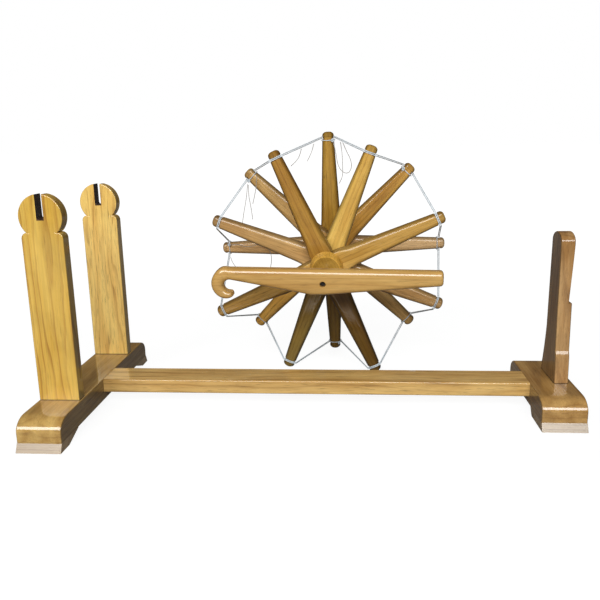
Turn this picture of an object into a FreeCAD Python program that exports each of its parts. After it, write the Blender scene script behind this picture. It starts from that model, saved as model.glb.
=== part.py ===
import FreeCAD, Part
import math
import os

# Standing charkha, taken apart: an I-shaped base with two wheel uprights and a spindle post, and the
# loose wheel leaning on the floor behind it. X runs along the beam to the right, Y to the back, Z up.
# Every size is in millimetres and every angle in degrees.

# Feet and beam
FOOT_SPAN = 842.0
FOOT_WIDTH = 68.0
FOOT_TOP = 48.0
LEFT_FOOT_HALF = 204.0
RIGHT_FOOT_HALF = 105.5
TOE_ROUND_LENGTH = 28.5
TOE_ROUND_HEIGHT = 20.0
BOARD_EDGE = 2.0
BEAM_WIDTH = 60.0
BEAM_DEPTH = 23.0
BEAM_TENON_WIDTH = 36.0
BEAM_TENON_DEPTH = 11.0
BEAM_TENON_LENGTH = 40.0

# Pads under the toes
PAD_HEIGHT = 13.0
PAD_FLARE = 6.5
PAD_HEEL = 1.0
LEFT_PAD_SOLE = 30.5
LEFT_PAD_TAPER = 37.0
RIGHT_PAD_SOLE = 62.0
RIGHT_PAD_TAPER = 10.0

# Wheel uprights
UPRIGHT_WIDTH = 64.0
UPRIGHT_THICK = 20.0
UPRIGHT_GAP = 210.0
UPRIGHT_SHOULDER = 310.5
SHOULDER_RADIUS = 9.0
NECK_INSET = 10.0
HEAD_RADIUS = 33.5
HEAD_CENTRE = 333.5
HEAD_START = 25.0
AXLE_SEAT = 334.3
SLOT_CLEARANCE = 0.6
UPRIGHT_EDGE = 1.6
UPRIGHT_TENON_WIDTH = 40.0
UPRIGHT_TENON_THICK = 12.0
TENON_DEPTH = 28.0
MORTISE_PLAY = 0.1

# Spindle post
POST_THICK = 22.0
POST_OUTER_STEP = 9.0
POST_FRONT = -32.0
POST_BACK = 48.0
POST_BEVEL_FRONT = -29.0
POST_BEVEL_LOW = 90.0
POST_BEVEL_BULGE = 0.5
POST_BLADE_FRONT = -25.5
POST_BEVEL_HIGH = 101.0
POST_ARCH_FRONT = -17.5
POST_BLADE_BACK = 31.0
POST_ARCH_BASE = 274.0
POST_ARCH_RISE = 14.5
POST_FLARE_TOP = 130.0
POST_FLARE_SAG = 2.1
POST_RELIEF_DEPTH = 5.5
POST_RELIEF_LEDGE = 178.0
POST_EDGE = 2.0
POST_TENON_LENGTH = 44.0
POST_TENON_THICK = 12.0

# Spoke bars, two bars to a cross and two crosses to a rim
TIP_ANGLE = 45.0
FRONT_FIRST_ANGLE = 113.86
REAR_FIRST_ANGLE = 91.16
RIM_TIPS = 8
GROOVE_RADIUS = 215.0
FRONT_OVERHANG = 12.5
REAR_OVERHANG = 10.5
TIP_FLAT = 4.0
TIP_ROUND_WIDE = 7.5
TIP_ROUND_LONG = 8.0
BAR_THICK = 25.0
BAR_TIP_THICK = 19.0
BAR_HALF_WIDTH = 20.5
BAR_TIP_HALF_WIDTH = 11.1
LAP_SQUARE = 31.0
SHAPED_FROM = 54.0
SQUARE_CORNER = 3.0
CORNER_SHARE = 0.42
CORD_GROOVE_WIDTH = 5.8
CORD_GROOVE_SHIFT = 0.5
CORD_GROOVE_DEPTH = 1.4
RIM_SPACING = 99.0

# Hub, arbor, axle and its washers
BOSS_RADIUS = 30.5
BOSS_FACE_RADIUS = 26.0
BOSS_LENGTH = 17.0
BOSS_CHAMFER = 1.6
BOSS_SOCKET = 9.0
DRUM_RADIUS = 30.0
ARBOR_DIAMETER = 22.0
AXLE_DIAMETER = 10.0
AXLE_FRONT_REACH = 105.0
AXLE_REAR_REACH = 214.0
AXLE_CHAMFER = 1.0
WASHER_RADIUS = 12.0
WASHER_THICK = 3.0
WASHER_PLAY = 0.05
WASHER_GAP = 0.2

# Crank, a flat bar with the axle through it and a finger hook at its left end
CRANK_FACE = 111.3
CRANK_THICK = 24.0
CRANK_CORNER = 9.0
CRANK_TOP = 24.7
CRANK_TOP_SLOPE = -0.0163
CRANK_BELLY = -20.4
CRANK_BELLY_LENGTH = 20.0
CRANK_END = 200.0
CRANK_END_BOTTOM = -4.0
CRANK_END_ROUND = 5.5
CRANK_BORE_RIM = 0.8
HOOK_X = -160.0
HOOK_Z = -4.6
HOOK_INNER = 11.0
HOOK_STEP = 30.0
HOOK_OUTER = (31.8, 34.4, 33.3, 32.2, 29.2, 25.2, 20.6)
HOOK_TIP_ANGLE = 287.0
HOOK_TIP_INNER = 13.2
HOOK_TIP_OUTER = 18.0
HOOK_TIP_THICK = 13.0

# Where the loose wheel leans: the middle of its foremost cross, its yaw and its lean
WHEEL_X = 21.4
WHEEL_Y = 135.6
WHEEL_YAW = -1.82
WHEEL_LEAN = 5.96

# White cord round the tips, two strands side by side, with a band and some knots on the rear tips
CORD_DIAMETER = 1.8
STRAND_PITCH = 2.4
CORD_REST = 0.1
BAND_INSET = 4.6
KNOT_SIDES = {1: -1, 2: 1, 5: 1, 7: -1, 8: 1}
KNOT_RADIUS = 3.2
KNOT_STRETCH = 1.4
KNOT_PLACE = 0.75

# Loose threads. Each hangs by the rear tip whose number is in its name, and its points are measured from
# the middle of that tip's groove in the wheel's own directions: right, back and up.
THREAD_DIAMETER = 1.2
BEND_SHARE = 0.45
THREADS = {
    "thread_8_knot": ((-3, -15, -17), (-4, -17, -36), (0, -19, -57), (3, -22, -84)),
    "thread_8_long": ((-5, -14, -16), (-8, -16, -41), (-14, -19, -68), (-18, -21, -90),
                      (-23, -23, -113)),
    "thread_8_right": ((14, -16, 1), (13, -18, -17), (10, -21, -34), (5, -24, -53)),
    "thread_1_loop": ((30, -37, -6), (36, -36, -21), (44, -36, -36), (47, -35, -50), (43, -34, -62),
                      (35, -33, -65), (25, -30, -59), (19, -27, -46), (17, -24, -32), (14, -20, -17),
                      (10, -17, -6)),
    "thread_1_hook": ((25, -27, -6), (28, -29, -22), (29, -33, -42), (30, -38, -63), (27, -39, -76),
                      (22, -39, -83)),
    "thread_1_near": ((-25, -35, -8), (-27, -35, -16), (-31, -36, -27), (-38, -38, -40)),
    "thread_1_far": ((-44, -81, -11), (-46, -82, -21), (-53, -83, -33), (-64, -85, -42)),
    "thread_7_curl": ((10, -16, 9), (22, -20, 13), (35, -21, 8), (51, -21, 7), (66, -20, 12),
                      (80, -21, 8), (91, -21, -2), (93, -22, -17), (91, -22, -34), (85, -22, -50)),
    "thread_7_tail": ((6, -13, -17), (8, -14, -26), (15, -15, -37), (24, -16, -48)),
}

TOUCH = 1e-6
FRONT_TIP = GROOVE_RADIUS + FRONT_OVERHANG
REAR_TIP = GROOVE_RADIUS + REAR_OVERHANG
ORIGIN = FreeCAD.Vector(0, 0, 0)
X_AXIS = FreeCAD.Vector(1, 0, 0)
Y_AXIS = FreeCAD.Vector(0, 1, 0)
Z_AXIS = FreeCAD.Vector(0, 0, 1)

foot_inner = FOOT_SPAN / 2 - FOOT_WIDTH
foot_middle = FOOT_SPAN / 2 - FOOT_WIDTH / 2
rear_inner_layer = BAR_THICK + RIM_SPACING
rear_outer_layer = rear_inner_layer + BAR_THICK
hub_front = -BAR_THICK / 2
hub_back = rear_outer_layer + BAR_THICK / 2


def vec(x, y, z):
    return FreeCAD.Vector(x, y, z)


def side_point(x):
    """Places (y, z) pairs in the plane at x."""
    return lambda y, z: vec(x, y, z)


def line(start, end):
    return Part.LineSegment(start, end).toShape()


def arc(start, middle, end):
    return Part.Arc(start, middle, end).toShape()


def quarter_ellipse(centre, start, end):
    """Quarter of an ellipse from one axis end to the other."""
    ellipse = Part.Ellipse(start, end, centre)
    if (end - centre).Length > (start - centre).Length:
        ellipse = Part.Ellipse(end, start, centre)
    return Part.ArcOfEllipse(ellipse, 0, math.pi / 2).toShape()


def filled(edges):
    """Face inside a closed chain of edges."""
    return Part.Face(Part.Wire(Part.__sortEdges__(edges)))


def box(x_limits, y_limits, z_limits):
    """Block between two limits on each axis."""
    limits = (x_limits, y_limits, z_limits)
    sizes = [high - low for low, high in limits]
    return Part.makeBox(*sizes, vec(*[low for low, high in limits]))


def grown(limits, play):
    """The same limits moved outwards by a play."""
    return (limits[0] - play, limits[1] + play)


def rod(radius, y_start, y_end, at=ORIGIN):
    """Cylinder along Y."""
    return Part.makeCylinder(radius, y_end - y_start, at + vec(0, y_start, 0), Y_AXIS)


def turned(profile):
    """Solid turned about the Y axis from (radius, y) points of its half section."""
    points = [vec(radius, y, 0) for radius, y in profile]
    edges = [line(a, b) for a, b in zip(points, points[1:] + points[:1])]
    return filled(edges).revolve(ORIGIN, Y_AXIS, 360)


def rounded_section(centre, wide, deep, half_wide, half_deep, corner):
    """Closed wire of a rectangle with round corners, on two directions about its centre."""
    signs = ((1, 1), (-1, 1), (-1, -1), (1, -1))
    corners = []
    for turn, (sign_wide, sign_deep) in enumerate(signs):
        middle = (centre + wide * (sign_wide * (half_wide - corner))
                  + deep * (sign_deep * (half_deep - corner)))
        angles = [math.radians(90 * turn + step) for step in (0, 45, 90)]
        corners.append([middle + wide * (corner * math.cos(a)) + deep * (corner * math.sin(a))
                        for a in angles])
    edges = []
    for this, following in zip(corners, corners[1:] + corners[:1]):
        edges.append(arc(*this))
        edges.append(line(this[2], following[0]))
    return Part.Wire(edges)


def edges_where(shape, test):
    """Edges of which every vertex and the middle pass a test."""
    chosen = []
    for edge in shape.Edges:
        points = [vertex.Point for vertex in edge.Vertexes]
        points.append(edge.valueAt((edge.FirstParameter + edge.LastParameter) / 2))
        if all(test(point) for point in points):
            chosen.append(edge)
    return chosen


def near(a, b):
    return abs(a - b) < TOUCH


def above(edge, level):
    """Whether an edge doesn't just lie in the plane at this height."""
    return edge.BoundBox.ZMax > level + TOUCH


# Base

upright_tenon_x = (-foot_middle - UPRIGHT_TENON_WIDTH / 2, -foot_middle + UPRIGHT_TENON_WIDTH / 2)
tenon_z = (FOOT_TOP - TENON_DEPTH, FOOT_TOP)
front_upright_y = -UPRIGHT_GAP / 2 - UPRIGHT_THICK
rear_upright_y = UPRIGHT_GAP / 2
post_outer = FOOT_SPAN / 2 - POST_OUTER_STEP
post_middle_x = post_outer - POST_THICK / 2
post_middle_y = (POST_FRONT + POST_BACK) / 2
post_tenon_x = (post_middle_x - POST_TENON_THICK / 2, post_middle_x + POST_TENON_THICK / 2)
post_tenon_y = (post_middle_y - POST_TENON_LENGTH / 2, post_middle_y + POST_TENON_LENGTH / 2)


def upright_tenon_y(near_face):
    middle = near_face + UPRIGHT_THICK / 2
    return (middle - UPRIGHT_TENON_THICK / 2, middle + UPRIGHT_TENON_THICK / 2)


def beam_tenon(side, play):
    """Tenon of the beam in one foot, or its mortise where there is play."""
    start = foot_inner
    end = foot_inner + BEAM_TENON_LENGTH + play
    x_limits = (start, end) if side > 0 else (-end, -start)
    y_limits = grown((-BEAM_TENON_WIDTH / 2, BEAM_TENON_WIDTH / 2), play)
    middle = FOOT_TOP - BEAM_DEPTH / 2
    z_limits = grown((middle - BEAM_TENON_DEPTH / 2, middle + BEAM_TENON_DEPTH / 2), play)
    return box(x_limits, y_limits, z_limits)


def make_beam():
    """Long flat beam, flush with the tops of the feet, with a tenon at each end."""
    bar = box((-foot_inner, foot_inner), (-BEAM_WIDTH / 2, BEAM_WIDTH / 2),
              (FOOT_TOP - BEAM_DEPTH, FOOT_TOP))
    long_edges = edges_where(bar, lambda p: abs(p.x) <= foot_inner and near(abs(p.y), BEAM_WIDTH / 2)
                             and (near(p.z, FOOT_TOP) or near(p.z, FOOT_TOP - BEAM_DEPTH)))
    bar = bar.makeFillet(BOARD_EDGE, long_edges)
    for side in (-1, 1):
        bar = bar.fuse(beam_tenon(side, 0))
    return bar.removeSplitter()


def foot_board(side, half_length):
    """Cross foot on edge, both toes rounded down at the top."""
    place = side_point(side * foot_middle - FOOT_WIDTH / 2)
    knee = FOOT_TOP - TOE_ROUND_HEIGHT
    heel = half_length - TOE_ROUND_LENGTH
    edges = [line(place(-half_length, PAD_HEIGHT), place(half_length, PAD_HEIGHT)),
             line(place(-heel, FOOT_TOP), place(heel, FOOT_TOP))]
    for end in (-1, 1):
        edges.append(line(place(end * half_length, PAD_HEIGHT), place(end * half_length, knee)))
        edges.append(quarter_ellipse(place(end * heel, knee), place(end * half_length, knee),
                                     place(end * heel, FOOT_TOP)))
    board = filled(edges).extrude(vec(FOOT_WIDTH, 0, 0))
    rim = edges_where(board, lambda p: near(abs(abs(p.x) - foot_middle), FOOT_WIDTH / 2))
    return board.makeFillet(BOARD_EDGE, [edge for edge in rim if above(edge, PAD_HEIGHT)])


def make_left_foot():
    """Long foot with the mortises of the beam and of the two uprights."""
    foot = foot_board(-1, LEFT_FOOT_HALF).cut(beam_tenon(-1, MORTISE_PLAY))
    for near_face in (front_upright_y, rear_upright_y):
        foot = foot.cut(box(grown(upright_tenon_x, MORTISE_PLAY),
                            grown(upright_tenon_y(near_face), MORTISE_PLAY),
                            (tenon_z[0] - MORTISE_PLAY, FOOT_TOP)))
    return foot


def make_right_foot():
    """Short foot with the mortises of the beam and of the spindle post."""
    foot = foot_board(1, RIGHT_FOOT_HALF).cut(beam_tenon(1, MORTISE_PLAY))
    return foot.cut(box(grown(post_tenon_x, MORTISE_PLAY), grown(post_tenon_y, MORTISE_PLAY),
                        (tenon_z[0] - MORTISE_PLAY, FOOT_TOP)))


def make_pad(side, end, half_length, sole, taper):
    """Low pad under a toe: its front leans out to the floor and its heel rises to the foot."""
    place = side_point(side * foot_middle - FOOT_WIDTH / 2)
    toe = half_length + PAD_FLARE
    outline = [(half_length, PAD_HEIGHT), (toe, 0), (toe - sole, 0),
               (toe - sole - taper, PAD_HEIGHT - PAD_HEEL), (toe - sole - taper, PAD_HEIGHT)]
    points = [place(end * y, z) for y, z in outline]
    edges = [line(a, b) for a, b in zip(points, points[1:] + points[:1])]
    return filled(edges).extrude(vec(FOOT_WIDTH, 0, 0))


def make_upright(near_face):
    """Board with round shoulders, a round head and a slot for the axle, open at the top."""
    def place(x, z):
        return vec(x - foot_middle, near_face, z)
    half = UPRIGHT_WIDTH / 2
    neck = half - NECK_INSET
    head_low = HEAD_CENTRE - math.sqrt(HEAD_RADIUS ** 2 - HEAD_START ** 2)
    bend = SHOULDER_RADIUS * math.sqrt(0.5)
    edges = [line(place(-half, FOOT_TOP), place(half, FOOT_TOP)),
             arc(place(-HEAD_START, head_low), place(0, HEAD_CENTRE + HEAD_RADIUS),
                 place(HEAD_START, head_low))]
    for side in (-1, 1):
        arc_x = half - SHOULDER_RADIUS
        arc_z = UPRIGHT_SHOULDER - SHOULDER_RADIUS
        edges.append(line(place(side * half, FOOT_TOP), place(side * half, arc_z)))
        edges.append(arc(place(side * half, arc_z), place(side * (arc_x + bend), arc_z + bend),
                         place(side * arc_x, UPRIGHT_SHOULDER)))
        edges.append(line(place(side * arc_x, UPRIGHT_SHOULDER), place(side * neck, UPRIGHT_SHOULDER)))
        edges.append(line(place(side * neck, UPRIGHT_SHOULDER), place(side * HEAD_START, head_low)))
    board = filled(edges).extrude(vec(0, UPRIGHT_THICK, 0))
    rim = [edge for edge in board.Edges
           if near(edge.BoundBox.YLength, 0) and above(edge, FOOT_TOP) and edge.Length > NECK_INSET]
    board = board.makeFillet(UPRIGHT_EDGE, rim)
    slot_half = (AXLE_DIAMETER + SLOT_CLEARANCE) / 2
    slot = box((-foot_middle - slot_half, -foot_middle + slot_half),
               (near_face, near_face + UPRIGHT_THICK), (AXLE_SEAT, HEAD_CENTRE + 2 * HEAD_RADIUS))
    seat = rod(slot_half, near_face, near_face + UPRIGHT_THICK, vec(-foot_middle, 0, AXLE_SEAT))
    tenon = box(upright_tenon_x, upright_tenon_y(near_face), tenon_z)
    return board.cut(slot.fuse(seat)).fuse(tenon).removeSplitter()


def make_spindle_post():
    """Post with a flared back, a bevel near its foot, an arched top and a relieved outer face."""
    place = side_point(post_outer - POST_THICK)
    arch_middle = (POST_ARCH_FRONT + POST_BLADE_BACK) / 2
    crown = place(arch_middle, POST_ARCH_BASE + POST_ARCH_RISE)
    bevel_y = (POST_BEVEL_FRONT + POST_BLADE_FRONT) / 2 - POST_BEVEL_BULGE
    flare_y = (POST_BLADE_BACK + POST_BACK) / 2 - POST_FLARE_SAG
    edges = [line(place(POST_FRONT, FOOT_TOP), place(POST_BEVEL_FRONT, POST_BEVEL_LOW)),
             arc(place(POST_BEVEL_FRONT, POST_BEVEL_LOW),
                 place(bevel_y, (POST_BEVEL_LOW + POST_BEVEL_HIGH) / 2),
                 place(POST_BLADE_FRONT, POST_BEVEL_HIGH)),
             line(place(POST_BLADE_FRONT, POST_BEVEL_HIGH), place(POST_ARCH_FRONT, POST_ARCH_BASE)),
             quarter_ellipse(place(arch_middle, POST_ARCH_BASE), place(POST_ARCH_FRONT, POST_ARCH_BASE),
                             crown),
             quarter_ellipse(place(arch_middle, POST_ARCH_BASE), place(POST_BLADE_BACK, POST_ARCH_BASE),
                             crown),
             line(place(POST_BLADE_BACK, POST_ARCH_BASE), place(POST_BLADE_BACK, POST_FLARE_TOP)),
             arc(place(POST_BLADE_BACK, POST_FLARE_TOP), place(flare_y, (POST_FLARE_TOP + FOOT_TOP) / 2),
                 place(POST_BACK, FOOT_TOP)),
             line(place(POST_BACK, FOOT_TOP), place(POST_FRONT, FOOT_TOP))]
    post = filled(edges).extrude(vec(POST_THICK, 0, 0))
    rim = [edge for edge in post.Edges
           if near(edge.BoundBox.XLength, 0) and above(edge, FOOT_TOP)]
    post = post.makeFillet(POST_EDGE, rim)
    relief_points = [vec(post_outer, POST_FRONT, POST_ARCH_BASE),
                     vec(post_outer - POST_RELIEF_DEPTH, POST_FRONT, POST_RELIEF_LEDGE),
                     vec(post_outer + POST_THICK, POST_FRONT, POST_RELIEF_LEDGE),
                     vec(post_outer + POST_THICK, POST_FRONT, POST_ARCH_BASE)]
    relief_edges = [line(a, b) for a, b in zip(relief_points, relief_points[1:] + relief_points[:1])]
    relief = filled(relief_edges).extrude(vec(0, POST_BACK - POST_FRONT, 0))
    tenon = box(post_tenon_x, post_tenon_y, tenon_z)
    return post.cut(relief).fuse(tenon).removeSplitter()


# Wheel, in its own directions: the axle along Y with the crank at low Y, and the front cross at Y = 0


def taper(distance):
    """Share of a bar's taper that is done at a distance from the axle."""
    return max(0.0, (distance - LAP_SQUARE) / (GROOVE_RADIUS - LAP_SQUARE))


def bar_half_width(distance):
    return BAR_HALF_WIDTH - taper(distance) * (BAR_HALF_WIDTH - BAR_TIP_HALF_WIDTH)


def bar_half_thick(distance):
    return (BAR_THICK - taper(distance) * (BAR_THICK - BAR_TIP_THICK)) / 2


def bar_corner(distance):
    if distance <= LAP_SQUARE:
        return SQUARE_CORNER
    return 2 * CORNER_SHARE * bar_half_thick(distance)


def bar_section(reach, offset=0.0):
    """Section of a bar that lies along X, at a signed reach from the axle, grown by an offset."""
    distance = abs(reach)
    return rounded_section(vec(reach, 0, 0), Y_AXIS, Z_AXIS, bar_half_thick(distance) + offset,
                           bar_half_width(distance) + offset, bar_corner(distance) + offset)


def tip_rounder(tip):
    """Turned tool that leaves both tips of a bar along X blunt, with a wide round edge."""
    start = tip - TIP_ROUND_LONG
    dome = TIP_FLAT + TIP_ROUND_WIDE
    wide = 2 * BAR_HALF_WIDTH
    edges = [line(vec(-start, 0, wide), vec(start, 0, wide)), line(vec(-tip, 0, 0), vec(tip, 0, 0))]
    for side in (-1, 1):
        flat_edge = vec(side * tip, 0, TIP_FLAT)
        side_edge = vec(side * start, 0, dome)
        edges.append(line(vec(side * tip, 0, 0), flat_edge))
        edges.append(quarter_ellipse(vec(side * start, 0, TIP_FLAT), flat_edge, side_edge))
        edges.append(line(side_edge, vec(side * start, 0, wide)))
    return filled(edges).revolve(ORIGIN, X_AXIS, 360)


def groove_ring(reach):
    """Ring that cuts the cord's groove round a bar along X."""
    middle = reach - math.copysign(CORD_GROOVE_SHIFT, reach)
    slab = box((middle - CORD_GROOVE_WIDTH / 2, middle + CORD_GROOVE_WIDTH / 2),
               (-BAR_THICK, BAR_THICK), (-BAR_THICK, BAR_THICK))
    core = Part.Face(bar_section(reach, -CORD_GROOVE_DEPTH))
    core.translate(vec(-CORD_GROOVE_WIDTH, 0, 0))
    return slab.cut(core.extrude(vec(2 * CORD_GROOVE_WIDTH, 0, 0)))


def make_bar(angle, layer, tip, keeps_front):
    """Full-length spoke bar with half of its middle cut away for the bar that crosses it."""
    reaches = (-tip - 1, -SHAPED_FROM, -LAP_SQUARE, LAP_SQUARE, SHAPED_FROM, tip + 1)
    bar = Part.makeLoft([bar_section(reach) for reach in reaches], True, True)
    bar = bar.common(tip_rounder(tip))
    for side in (-1, 1):
        bar = bar.cut(groove_ring(side * GROOVE_RADIUS))
    lap_depth = (0, BAR_THICK) if keeps_front else (-BAR_THICK, 0)
    bar = bar.cut(box((-BAR_HALF_WIDTH, BAR_HALF_WIDTH), lap_depth, (-BAR_THICK, BAR_THICK)))
    bar = bar.cut(rod(ARBOR_DIAMETER / 2, -BAR_THICK, BAR_THICK))
    bar.rotate(ORIGIN, Y_AXIS, -angle)
    bar.translate(vec(0, layer, 0))
    return bar


def make_boss(face_at, outward):
    """Turned end boss: a shallow cone with a chamfered face, bored for the axle and for the arbor."""
    end = face_at + outward * BOSS_LENGTH
    socket = face_at + outward * BOSS_SOCKET
    profile = [(ARBOR_DIAMETER / 2, face_at), (BOSS_RADIUS, face_at),
               (BOSS_FACE_RADIUS, end - outward * BOSS_CHAMFER), (BOSS_FACE_RADIUS - BOSS_CHAMFER, end),
               (AXLE_DIAMETER / 2, end), (AXLE_DIAMETER / 2, socket), (ARBOR_DIAMETER / 2, socket)]
    return turned(profile)


def make_drum():
    """Spacer drum between the two rims, on the arbor."""
    start = BAR_THICK * 1.5
    end = rear_inner_layer - BAR_THICK / 2
    return turned([(ARBOR_DIAMETER / 2, start), (DRUM_RADIUS, start), (DRUM_RADIUS, end),
                   (ARBOR_DIAMETER / 2, end)])


def make_arbor():
    """Wooden tube through all four crosses, the drum and both bosses."""
    start = hub_front - BOSS_SOCKET
    end = hub_back + BOSS_SOCKET
    return turned([(AXLE_DIAMETER / 2, start), (ARBOR_DIAMETER / 2, start),
                   (ARBOR_DIAMETER / 2, end), (AXLE_DIAMETER / 2, end)])


def make_axle():
    """Steel rod from inside the crank to behind the hub, chamfered at both ends."""
    radius = AXLE_DIAMETER / 2
    return turned([(0, -AXLE_FRONT_REACH), (radius - AXLE_CHAMFER, -AXLE_FRONT_REACH),
                   (radius, AXLE_CHAMFER - AXLE_FRONT_REACH), (radius, AXLE_REAR_REACH - AXLE_CHAMFER),
                   (radius - AXLE_CHAMFER, AXLE_REAR_REACH), (0, AXLE_REAR_REACH)])


def make_washer(start):
    """Loose thrust washer on the axle."""
    inner = AXLE_DIAMETER / 2 + WASHER_PLAY
    end = start + WASHER_THICK
    return turned([(inner, start), (WASHER_RADIUS, start), (WASHER_RADIUS, end), (inner, end)])


# Crank

crank_middle = -CRANK_FACE + CRANK_THICK / 2
hook_centre = vec(HOOK_X, crank_middle, HOOK_Z)


def crank_top(x):
    return CRANK_TOP + CRANK_TOP_SLOPE * x


def arm_section(x, bottom, top):
    """Upright section of the crank's bar at x."""
    centre = vec(x, crank_middle, (bottom + top) / 2)
    return rounded_section(centre, Y_AXIS, Z_AXIS, CRANK_THICK / 2, (top - bottom) / 2, CRANK_CORNER)


def hook_section(angle, inner, outer, thick):
    """Section of the hook in a plane through the hook's own axis."""
    radians = math.radians(angle)
    out = vec(math.cos(radians), 0, math.sin(radians))
    centre = hook_centre + out * ((inner + outer) / 2)
    corner = min(CRANK_CORNER, CORNER_SHARE * (outer - inner))
    return rounded_section(centre, Y_AXIS, out, thick / 2, (outer - inner) / 2, corner)


def make_crank():
    """Crank bar: deepest at the axle, its left end bent round into a finger hook."""
    neck_top = HOOK_Z + HOOK_OUTER[0]
    sections = [arm_section(HOOK_X, HOOK_Z + HOOK_INNER, neck_top),
                arm_section(-CRANK_BELLY_LENGTH, CRANK_BELLY, crank_top(-CRANK_BELLY_LENGTH)),
                arm_section(0, CRANK_BELLY, crank_top(0)),
                arm_section(CRANK_END, CRANK_END_BOTTOM, crank_top(CRANK_END))]
    arm = Part.makeLoft(sections, True, True)
    end_edges = edges_where(arm, lambda p: near(p.x, CRANK_END))
    arm = arm.makeFillet(CRANK_END_ROUND, end_edges)
    bends = [hook_section(90 + HOOK_STEP * step, HOOK_INNER, outer, CRANK_THICK)
             for step, outer in enumerate(HOOK_OUTER)]
    bends.append(hook_section(HOOK_TIP_ANGLE, HOOK_TIP_INNER, HOOK_TIP_OUTER, HOOK_TIP_THICK))
    crank = arm.fuse(Part.makeLoft(bends, True, False))
    radius = AXLE_DIAMETER / 2
    face = -CRANK_FACE
    rim = turned([(0, face), (radius + CRANK_BORE_RIM, face), (radius, face + CRANK_BORE_RIM),
                  (0, face + CRANK_BORE_RIM)])
    return crank.cut(rod(radius, face, face + CRANK_THICK)).cut(rim).removeSplitter()


# Cord

def tip_frame(angle, layer):
    """Middle line point, outward and counterclockwise directions of a tip."""
    radians = math.radians(angle)
    out = vec(math.cos(radians), 0, math.sin(radians))
    around = vec(-math.sin(radians), 0, math.cos(radians))
    return vec(0, layer, 0), out, around


def rounded_path(points, radii):
    """Wire of straight runs through the points, joined by tangent arcs of the given radii."""
    edges = []
    here = points[0]
    for before, corner, after, radius in zip(points, points[1:], points[2:], radii):
        inward = (corner - before).normalize()
        outward = (after - corner).normalize()
        half_turn = inward.getAngle(outward) / 2
        start = corner - inward * (radius * math.tan(half_turn))
        end = corner + outward * (radius * math.tan(half_turn))
        bisector = (outward - inward).normalize()
        middle = corner + bisector * (radius / math.cos(half_turn) - radius)
        edges.append(line(here, start))
        edges.append(arc(start, middle, end))
        here = end
    edges.append(line(here, points[-1]))
    return Part.Wire(edges)


def tube(path, direction, diameter):
    """Round cord along a path, checked against its section times its length."""
    start = path.Edges[0].firstVertex(True).Point
    circle = Part.Wire(Part.makeCircle(diameter / 2, start, direction))
    solid = path.makePipeShell([circle], True, False)
    expected = math.pi * diameter ** 2 / 4 * path.Length
    print("cord length %.0f mm, volume share %.4f" % (path.Length, solid.Volume / expected))
    return solid


tips = []
for number in range(RIM_TIPS):
    odd = number % 2 == 0
    tips.append(("front", number + 1, FRONT_FIRST_ANGLE - TIP_ANGLE * number, 0 if odd else BAR_THICK))
    tips.append(("rear", number + 1, REAR_FIRST_ANGLE - TIP_ANGLE * number,
                 rear_outer_layer if odd else rear_inner_layer))


def make_strand(shift):
    """One strand in a zigzag round all the tips, ending at the back of the last rear tip."""
    reach = GROOVE_RADIUS + shift
    rest = CORD_DIAMETER / 2 + CORD_REST - CORD_GROOVE_DEPTH
    half_width = bar_half_width(reach) + rest
    half_thick = bar_half_thick(reach) + rest
    bend = bar_corner(reach) + rest
    points = []
    for position, (rim, number, angle, layer) in enumerate(tips):
        middle, out, around = tip_frame(angle, layer)
        face = -half_thick if rim == "front" else half_thick
        for neighbour, side in ((position - 1, 1), ((position + 1) % len(tips), -1)):
            lateral = 2 * reach * math.sin(math.radians(TIP_ANGLE / 4)) - 2 * (half_width - bend)
            axial = abs(tips[neighbour][3] - layer) + 2 * (half_thick - bend)
            slope = math.atan2(axial, lateral) + math.asin(2 * bend / math.hypot(axial, lateral))
            wrap = half_width - bend + bend * math.tan(slope / 2)
            points.append(middle + out * reach + around * (side * wrap) + Y_AXIS * face)
    start = (points[-1] + points[-2]) / 2
    gap = (points[-1] - points[-2]).normalize() * CORD_DIAMETER
    route = [start + gap] + points[-1:] + points[:-1] + [start - gap]
    path = rounded_path(route, [bend] * len(points))
    print("strand radius %.1f mm" % bend)
    return tube(path, gap, CORD_DIAMETER)


def tip_of(rim, number):
    return next(tip for tip in tips if tip[0] == rim and tip[1] == number)


def make_band(number):
    """Turn of cord right round a rear tip, just inside its groove."""
    rim, number, angle, layer = tip_of("rear", number)
    path = bar_section(GROOVE_RADIUS - BAND_INSET, CORD_DIAMETER / 2 + CORD_REST)
    band = tube(path, path.Edges[0].tangentAt(path.Edges[0].FirstParameter), CORD_DIAMETER)
    band.rotate(ORIGIN, Y_AXIS, -angle)
    band.translate(vec(0, layer, 0))
    return band


def knot_centre(number):
    """Middle of a knot, at a front corner of its rear tip."""
    middle, out, around = tip_frame(*tip_of("rear", number)[2:])
    reach = GROOVE_RADIUS - BAND_INSET
    offset = bar_half_width(reach) * KNOT_PLACE
    face = bar_half_thick(reach) + KNOT_RADIUS
    return middle + out * reach + around * (KNOT_SIDES[number] * offset) - Y_AXIS * face


def make_knot(number, band):
    """Small knot drawn tight round the band of a rear tip."""
    knot = Part.makeSphere(KNOT_RADIUS)
    stretch = FreeCAD.Matrix()
    stretch.scale(KNOT_STRETCH, 1, 1)
    knot = knot.transformGeometry(stretch)
    knot.translate(knot_centre(number))
    return knot.cut(band)


def make_thread(number, offsets):
    """Loose thread through points near a rear tip, every bend as wide as its two runs allow."""
    middle, out, around = tip_frame(*tip_of("rear", number)[2:])
    points = [middle + out * GROOVE_RADIUS + vec(*offset) for offset in offsets]
    radii = []
    for before, corner, after in zip(points, points[1:], points[2:]):
        shorter = min((corner - before).Length, (after - corner).Length)
        half_turn = (corner - before).getAngle(after - corner) / 2
        radii.append(BEND_SHARE * shorter / math.tan(half_turn))
    print("thread bends, mm:", [round(radius) for radius in radii])
    return tube(rounded_path(points, radii), points[1] - points[0], THREAD_DIAMETER)


# Placing and writing

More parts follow.
